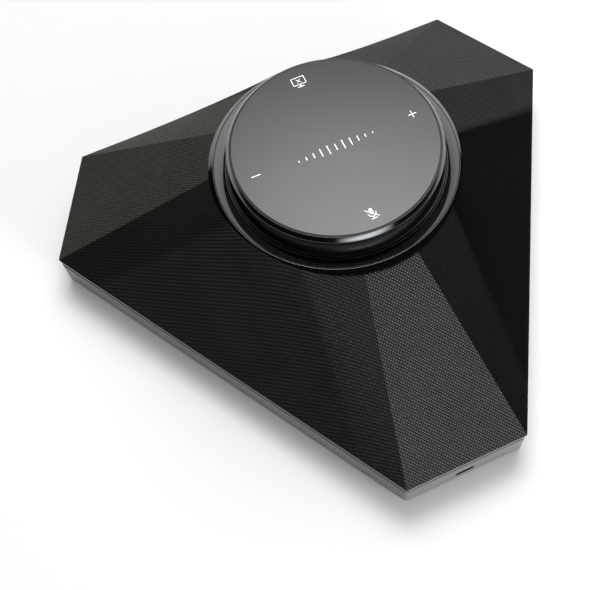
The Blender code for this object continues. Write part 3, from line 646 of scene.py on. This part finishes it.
def painted_shading_at(leg, s, share):
    """Painted light and shade: share of light yarn at distance s along one leg's edge, this share of the way
    up.
    """
    beyond = abs(s) - END_WIDTH / 2
    if beyond < 0:
        low, high = RIDGE_PAINTED_SHADING[leg]
    else:
        legs = list(LEG_ANGLES)
        neighbour = legs[(legs.index(leg) + (1 if s > 0 else -1)) % len(legs)]
        flank = FLANK_PAINTED_SHADING[leg, neighbour]
        face = FACE_PAINTED_SHADING[tuple(sorted((leg, neighbour)))]
        blend = max(0.0, min(1.0, (beyond - FACE_START) / (2 * SOFT_CREASE) + 0.5))
        low, high = ((1 - blend) * first + blend * second for first, second in zip(flank, face))
    return low + (high - low) * share


def add_warmth(cloth):
    """How warm the cloth's light yarn looks: more on the left leg."""
    warm = cloth.data.attributes.new("warm", "FLOAT", "POINT")
    left = Vector(around(LEG_ANGLES["left"], 1.0))
    for vert in cloth.data.vertices:
        place = Vector((vert.co.x, vert.co.y - AXIS_Y * MM))
        toward = place.normalized().dot(left)
        warm.data[vert.index].value = max(0.0, min(1.0, (toward - 0.72) / 0.2))


def add_bezel(material):
    """The gloss ring that slopes from the flat ring down to the cloth's edge, wide over the legs."""
    inner = RING_OUTER + 0.05
    rim = RING_TOP - 0.2
    loops = [[], [], [], [], [], []]
    for i in range(ROUND_STEPS):
        angle = (i + 0.5) * 360.0 / ROUND_STEPS
        from_leg = (angle - LEG_ANGLES["front"] + 60.0) % 120.0 - 60.0
        flat = Vector(around(angle, opening_point(from_leg).xy.length))
        outer = flat.length - 0.02
        drop = 0.9 * (outer - inner - 0.1)
        section = (
            (inner, POD_BOTTOM), (inner, rim - 0.1), (inner + 0.03, rim), (inner + 0.1, rim),
            (outer, rim - drop), (outer, 68.0),
        )
        for loop, (radius, height) in zip(loops, section):
            loop.append((*(flat.normalized() * radius), height))
    bm = bmesh.new()
    loft(bm, loops)
    add_piece("bezel_ring", bm, material, ["opening_bezel"])


def add_tray(material, mouth_shade_finish):
    floor = TRAY_BOTTOM + 2.0
    outline = [
        (3.2, TRAY_BOTTOM), (1.5, TRAY_BOTTOM), (1.0, TRAY_BOTTOM + 0.15), (0.72, TRAY_BOTTOM + 0.5),
        (0.62, TRAY_BOTTOM + 1.0), (0.27, TRAY_TOP - 1.0), (0.26, TRAY_TOP - 0.55), (0.36, TRAY_TOP - 0.2),
        (0.62, TRAY_TOP), (1.9, TRAY_TOP), (2.25, TRAY_TOP - 0.3), (2.6, floor),
    ]
    bm = bmesh.new()
    loft(bm, [rounded_hexagon(inset, 3.0, height) for inset, height in outline], caps=True)
    tray = add_piece("tray_shell", bm, material, ["base_tray"])
    wells = bmesh.new()
    for angle, distance in CASE_SCREW_PLACES:
        add_cylinder(wells, around(angle, distance), SCREW_WELL_RADIUS, 0.0, SCREW_WELL_TOP)
    for angle in LEG_ANGLES.values():
        radius = FOOT_RADIUS + FOOT_CLEARANCE
        add_cylinder(wells, around(angle, FOOT_DISTANCE), radius, 0.0, TRAY_BOTTOM + 1.0, 96)
    loft(wells, [stadium_loop(*SOCKET_WELL, -END_DISTANCE + depth) for depth in (0.9, 6.0)], caps=True)
    cut(tray, wells)
    mouth = bmesh.new()
    width, height = SOCKET_MOUTH
    loops = []
    for grow, depth in ((0.5, -0.5), (0.4, 0.4), (0.0, 0.7), (0.0, 1.4)):
        loops.append(stadium_loop(width + grow, height + grow, -END_DISTANCE + depth))
    loft(mouth, loops, caps=True)
    cut(tray, mouth)
    paint_mouth_shade(tray, mouth_shade_finish)


def paint_mouth_shade(tray, mouth_shade_finish):
    """Painted shade: the tray's walls in the USB-C opening get the near-black socket finish."""
    tray.data.materials.append(mouth_shade_finish)
    for polygon in tray.data.polygons:
        x, y, z = polygon.center / MM
        depth = y - AXIS_Y + END_DISTANCE
        beside = abs(x) < 4.8 and abs(z - SOCKET_HEIGHT) < 2.0
        if beside and 0.3 < depth < 6.5 and abs(polygon.normal.y) < 0.9:
            polygon.material_index = 1


def add_trim(material):
    outline = rounded(
        (
            (0.3, TRIM_BOTTOM), (0.3, TRIM_TOP), (4.2, TRIM_TOP), (4.2, TRIM_BOTTOM), (3.8, TRIM_BOTTOM),
            (3.8, TRAY_TOP - 2.5), (2.9, TRAY_TOP - 2.5), (2.9, TRAY_TOP + 0.3), (1.1, TRAY_TOP + 0.3),
            (1.1, TRIM_BOTTOM),
        ),
        0.3, 3,
    )
    bm = bmesh.new()
    loft(bm, [rounded_hexagon(inset, 2.4, height) for inset, height in outline])
    add_piece("trim_lip", bm, material, ["trim_frame"])


def add_feet(material):
    """Round rubber pads with a shallow ring groove in the sole."""
    top = 2.2
    groove = 0.35
    sole = [
        (0.0, 0.0), (5.6, 0.0), (5.9, groove), (6.5, groove), (6.8, 0.0), (9.3, 0.0), (FOOT_RADIUS, 0.7),
        (FOOT_RADIUS, top), (0.0, top),
    ]
    for name, angle in LEG_ANGLES.items():
        bm = turned(rounded(sole, 0.2, 3), 96, around(angle, FOOT_DISTANCE))
        add_piece(f"foot_pad_{name}", bm, material, [f"foot_{name}"])


def add_screw_heads(material):
    """Case screws with a cross recess, seen in the wells underneath."""
    head = [(0.0, 3.6), (1.9, 3.6), (2.7, 4.3), (2.7, 5.6), (1.1, 5.6), (1.1, 21.0), (0.0, 22.0)]
    slot_size = (2.6, 0.55, 1.4)
    slot_height = 3.9
    for number, (angle, distance) in enumerate(CASE_SCREW_PLACES, 1):
        centre = around(angle, distance)
        bm = turned(rounded(head, 0.3, 3), 48, centre)
        name = f"case_screw_head_{number}"
        screw = add_piece(name, bm, material, [f"case_screw_{number}"])
        place = Matrix.Translation((*centre, slot_height))
        for turn in (angle, angle + 90.0):
            recess = bmesh.new()
            spin = Matrix.Rotation(math.radians(turn), 4, "Z")
            bmesh.ops.create_cube(recess, size=1.0, matrix=place @ spin @ Matrix.Diagonal((*slot_size, 1.0)))
            cut(screw, recess)


def add_top_ring(material):
    ledge = RING_TOP - 2.2
    wall = RING_OUTER - 1.9
    ring = [
        (RING_OUTER, POD_BOTTOM), (RING_OUTER, RING_TOP - 0.3), (RING_OUTER - 0.3, RING_TOP),
        (RING_INNER + 0.2, RING_TOP - 0.6), (RING_INNER, RING_TOP - 0.8), (RING_INNER, ledge), (wall, ledge),
        (wall, POD_BOTTOM),
    ]
    add_piece("annulus", turned(rounded(ring, 0.16)), material, ["top_ring"])


def add_light_guide(material):
    inner = NECK_RADIUS + 0.3
    outer = RING_INNER - 0.25
    top = RING_TOP - 1.0
    guide = [(inner, POD_BOTTOM), (outer, POD_BOTTOM), (outer, top), (inner, top)]
    add_piece("light_guide", turned(rounded(guide, 0.2)), material, ["status_light_ring"])


def add_neck(material):
    """The concave neck under the disc, a quarter ellipse in section.

    The pin hole's cutter only grazes the front of the neck, so no hole shows.
    """
    low = RING_TOP - 0.5
    high = DISC_BOTTOM - 0.3
    slender = 43.4
    wall = 2.2
    curve = []
    for i in range(25):
        turn = math.radians(90.0 * i / 24)
        radius = NECK_RADIUS - (NECK_RADIUS - slender) * math.sin(turn)
        curve.append((radius, high - (high - low) * math.cos(turn)))
    outline = [(NECK_RADIUS, POD_BOTTOM), *curve]
    outline += [(slender - wall, high), (slender - wall, high - 2.0), (NECK_RADIUS - wall, low - 2.0)]
    outline.append((NECK_RADIUS - wall, POD_BOTTOM))
    neck = add_piece("neck", turned(outline), material, ["collar"])
    hole = bmesh.new()
    place = Matrix.Rotation(math.radians(-88.0), 4, "Z") @ Matrix.Translation((45.7, 0.0, 77.2))
    tilt = Matrix.Rotation(math.radians(48.0), 4, "Y")
    bmesh.ops.create_cone(
        hole, cap_ends=True, segments=32, radius1=0.5, radius2=0.5, depth=1.6, matrix=place @ tilt
    )
    cut(neck, hole)


def add_disc(wall_material, glass):
    """The cup, which flares out below its lip, and the glass let into it with a thin chamfer."""
    lip = DISC_TOP - 0.4
    seat = DISC_TOP - 1.5
    base = DISC_BOTTOM + 1.8
    inside = DISC_RADIUS - 1.5
    cup = [
        (0.0, DISC_BOTTOM), (43.4, DISC_BOTTOM), (FLARE_RADIUS - 0.5, DISC_TOP - 2.9),
        (FLARE_RADIUS, DISC_TOP - 2.6), (FLARE_RADIUS, DISC_TOP - 2.2), (DISC_RADIUS + 0.1, lip),
        (DISC_RADIUS, lip), (DISC_RADIUS, seat), (inside, seat), (inside, base), (0.0, base),
    ]
    add_piece("disc_wall", turned(rounded(cup, 0.3)), wall_material, ["disc_housing"])
    low = DISC_TOP - 1.2
    edge = DISC_RADIUS - 0.03
    pane = [(0.0, low), (edge, low), (edge, DISC_TOP - 0.35), (edge - 0.85, DISC_TOP), (0.0, DISC_TOP)]
    bm = turned(rounded(pane, 0.1))
    add_piece("cover_glass", bm, glass, ["touch_glass"], smooth_angle=15.0)


# ---------------------------------------------------------------- printed marks on the glass

INK_LOW = DISC_TOP - 0.08
INK_HIGH = DISC_TOP + 0.02
STROKE = 0.36


def add_stroke(bm, start, end, width=STROKE, steps=8):
    """A straight printed line with round ends."""
    start = Vector(start)
    end = Vector(end)
    heading = (end - start).normalized()
    angle = math.degrees(math.atan2(heading.y, heading.x))
    loop = []
    for point, first in ((end, angle - 90.0), (start, angle + 90.0)):
        for i in range(steps + 1):
            loop.append(point + Vector(around(first + 180.0 * i / steps, width / 2)))
    loft(bm, [[(*point, height) for point in loop] for height in (INK_LOW, INK_HIGH)], caps=True)


def add_path(bm, points, closed=False, width=STROKE):
    following = points[1:] + (points[:1] if closed else [])
    for start, end in zip(points, following):
        add_stroke(bm, start, end, width)


def place_mark(name, bm, place, material):
    bmesh.ops.translate(bm, vec=(*place, 0.0), verts=bm.verts)
    add_piece(name, bm, material, (), smooth_angle=30.0)


def add_volume_marks(ink):
    plus = bmesh.new()
    add_stroke(plus, (-1.8, 0.0), (1.8, 0.0))
    add_stroke(plus, (0.0, -1.8), (0.0, 1.8))
    place_mark("mark_plus", plus, (35.8, -0.4), ink)
    minus = bmesh.new()
    add_stroke(minus, (-1.9, 0.0), (1.9, 0.0))
    place_mark("mark_minus", minus, (-36.4, -0.1), ink)


def add_screen_mark(ink):
    """A screen on its stand, with a cross on it."""
    screen = bmesh.new()
    add_path(screen, [(-2.9, -1.3), (2.9, -1.3), (2.9, 2.5), (-2.9, 2.5)], True, 0.3)
    add_stroke(screen, (-0.8, -0.2), (0.8, 1.4), 0.25)
    add_stroke(screen, (-0.8, 1.4), (0.8, -0.2), 0.25)
    add_stroke(screen, (0.0, -1.3), (0.0, -2.5), 0.5)
    add_stroke(screen, (-1.4, -2.6), (1.4, -2.6), 0.35)
    place_mark("mark_share_off", screen, (-0.8, 36.1), ink)


def add_microphone_mark(ink):
    """A microphone in its cradle, struck through."""
    microphone = bmesh.new()
    add_stroke(microphone, (0.0, 0.3), (0.0, 1.7), 1.5)
    arc = [Vector(around(180.0 + 22.5 * i, 1.75)) + Vector((0.0, 0.2)) for i in range(9)]
    add_path(microphone, arc, False, 0.3)
    add_stroke(microphone, (0.0, -1.6), (0.0, -2.5), 0.35)
    add_stroke(microphone, (-1.2, -2.6), (1.2, -2.6), 0.35)
    add_stroke(microphone, (-2.3, 2.3), (2.3, -2.3), 0.3)
    place_mark("mark_microphone_off", microphone, (-0.7, -37.1), ink)


def add_level_mark(ink):
    """A row of sound-level bars across the middle."""
    levels = bmesh.new()
    heights = (0.5, 1.3, 2.3, 3.6, 4.3, 2.9, 4.3, 3.6, 2.3, 1.3, 0.5)
    pitch = 3.4
    for i, height in enumerate(heights):
        x = pitch * (i - (len(heights) - 1) / 2)
        add_stroke(levels, (x, -height / 2), (x, height / 2), 0.45)
    place_mark("mark_sound_level", levels, (-0.4, -1.5), ink)


def add_indicator(lens):
    dot = bmesh.new()
    add_cylinder(dot, (0.0, 29.2), 0.65, INK_LOW, INK_HIGH, 32)
    add_piece("indicator_window", dot, lens, ())


# ---------------------------------------------------------------- floor, light and camera

FLOOR_SIZE = 6.0


def add_floor():
    nodes = Nodes("pale_floor")
    nodes.set(Base_Color=nodes.between(nodes.noise(3.0, 2.0), (0.80, 0.80, 0.80), (0.82, 0.82, 0.82)))
    nodes.set(Roughness=0.9)
    nodes.set(Specular_IOR_Level=0.1)
    mesh = bpy.data.meshes.new("floor")
    half = FLOOR_SIZE / 2
    corners = [(-half, -half, 0.0), (half, -half, 0.0), (half, half, 0.0), (-half, half, 0.0)]
    mesh.from_pydata(corners, [], [(0, 1, 2, 3)])
    mesh.materials.append(nodes.material)
    floor = bpy.data.objects.new("floor", mesh)
    bpy.context.collection.objects.link(floor)


def soften_edges(data):
    """The light fades from its middle to its edges, like cloth over a lamp."""
    data.use_nodes = True
    tree = data.node_tree
    place = tree.nodes.new("ShaderNodeNewGeometry")
    split = tree.nodes.new("ShaderNodeSeparateXYZ")
    tree.links.new(place.outputs["Parametric"], split.inputs[0])
    both = tree.nodes.new("ShaderNodeMath")
    both.operation = "MULTIPLY"
    for i in range(2):
        turn = tree.nodes.new("ShaderNodeMath")
        turn.operation = "MULTIPLY"
        turn.inputs[1].default_value = math.pi
        wave = tree.nodes.new("ShaderNodeMath")
        wave.operation = "SINE"
        tree.links.new(split.outputs[i], turn.inputs[0])
        tree.links.new(turn.outputs[0], wave.inputs[0])
        tree.links.new(wave.outputs[0], both.inputs[i])
    tree.links.new(both.outputs[0], tree.nodes["Emission"].inputs["Strength"])


def add_area_light(
    name, azimuth, elevation, distance, size, power, colour=(1, 1, 1), diffuse=True, glossy=True
):
    """A rectangular soft light that looks at the middle of the body. Size and distance are in metres."""
    aim = Vector((0.0, AXIS_Y, 50.0)) * MM
    rise = math.radians(elevation)
    outward = Vector((*around(azimuth, math.cos(rise)), math.sin(rise)))
    data = bpy.data.lights.new(name, "AREA")
    data.shape = "RECTANGLE"
    data.size, data.size_y = size
    data.energy = power
    data.color = colour
    soften_edges(data)
    light = bpy.data.objects.new(name, data)
    light.location = aim + outward * distance
    light.visible_diffuse = diffuse
    light.visible_glossy = glossy
    light.rotation_mode = "QUATERNION"
    light.rotation_quaternion = (-outward).to_track_quat("-Z", "Y")
    bpy.context.collection.objects.link(light)


def add_world(strength):
    world = bpy.data.worlds.new("studio")
    world.use_nodes = True
    background = world.node_tree.nodes["Background"]
    background.inputs["Color"].default_value = (1.0, 1.0, 1.0, 1.0)
    background.inputs["Strength"].default_value = strength
    world.cycles_visibility.glossy = False
    bpy.context.scene.world = world


def add_lights():
    add_world(0.34)
    add_area_light("back_fill", 66.0, 52.0, 2.2, (2.8, 1.8), 77.0, glossy=False)
    add_area_light("back", 60.0, 68.5, 1.4, (1.1, 1.0), 24.0)
    add_area_light("front", -91.0, 15.5, 1.5, (1.3, 0.36), 8.0, (0.9, 0.94, 1.0), diffuse=False)
    add_area_light("front_right", -64.0, 9.0, 1.8, (1.0, 0.5), 84.0, glossy=False)


CAMERA_PLACE = Vector((-102.05, -228.33, 484.67))
CAMERA_AZIMUTH = -22.4238
CAMERA_ELEVATION = 63.2620
CAMERA_ROLL = -2.8497
CAMERA_LENS = 68.88
CAMERA_SHIFT = (-0.0823, -0.0098)


def add_camera():
    azimuth, elevation, roll = (math.radians(a) for a in (CAMERA_AZIMUTH, CAMERA_ELEVATION, CAMERA_ROLL))
    flat = math.cos(elevation)
    back = Vector((math.sin(azimuth) * flat, -math.cos(azimuth) * flat, math.sin(elevation)))
    right = (-back).cross(Vector((0.0, 0.0, 1.0))).normalized()
    up = right.cross(-back)
    across = math.cos(roll) * right + math.sin(roll) * up
    upward = -math.sin(roll) * right + math.cos(roll) * up
    data = bpy.data.cameras.new("camera")
    data.lens = CAMERA_LENS
    data.sensor_width = 36.0
    data.shift_x, data.shift_y = CAMERA_SHIFT
    data.clip_start, data.clip_end = 0.01, 20.0
    camera = bpy.data.objects.new("camera", data)
    turn = Matrix((across, upward, back)).transposed().to_4x4()
    camera.matrix_world = Matrix.Translation(CAMERA_PLACE * MM) @ turn
    bpy.context.collection.objects.link(camera)
    bpy.context.scene.camera = camera


def finish_nodes(finishes):
    """Give every CAD node the finish of its material slot, and the USB-C socket painted shade in near black.
    """
    slots = {part["node"]: part["material_slot"] for part in frame["record"]["subparts"]}
    for name, node in frame["nodes"].items():
        finish = finishes["socket_black"] if name.startswith("usb_c") else finishes[slots[name]]
        for material_slot in node.material_slots:
            material_slot.material = finish


def main():
    finishes = inner_materials()
    finish_nodes(finishes)
    add_cloth(cloth_material())
    add_tray(tray_material(), finishes["socket_black"])
    add_trim(finishes["light_grey_plastic"])
    add_feet(finishes["rubber"])
    add_screw_heads(finishes["steel"])
    gloss = finishes["gloss_black"]
    add_bezel(gloss_material("gloss_black_bezel", roughness=0.04, ior=2.0))
    add_top_ring(gloss)
    add_light_guide(finishes["diffuser"])
    add_neck(grained("satin_black", (0.002, 0.002, 0.0022), (0.0035, 0.0035, 0.0037), 0.36, 4200.0, 0.05))
    add_disc(gloss_material("gloss_black_rim", roughness=0.1, ior=2.2), finishes["dark_glass"])
    ink = ink_material()
    lens = grained("red_window", (0.06, 0.002, 0.002), (0.09, 0.003, 0.003), 0.25, 900.0, 0.02)
    add_volume_marks(ink)
    add_screen_mark(ink)
    add_microphone_mark(ink)
    add_level_mark(ink)
    add_indicator(lens)
    add_floor()
    add_lights()
    add_camera()
    bpy.context.scene.view_settings.view_transform = "Standard"


main()
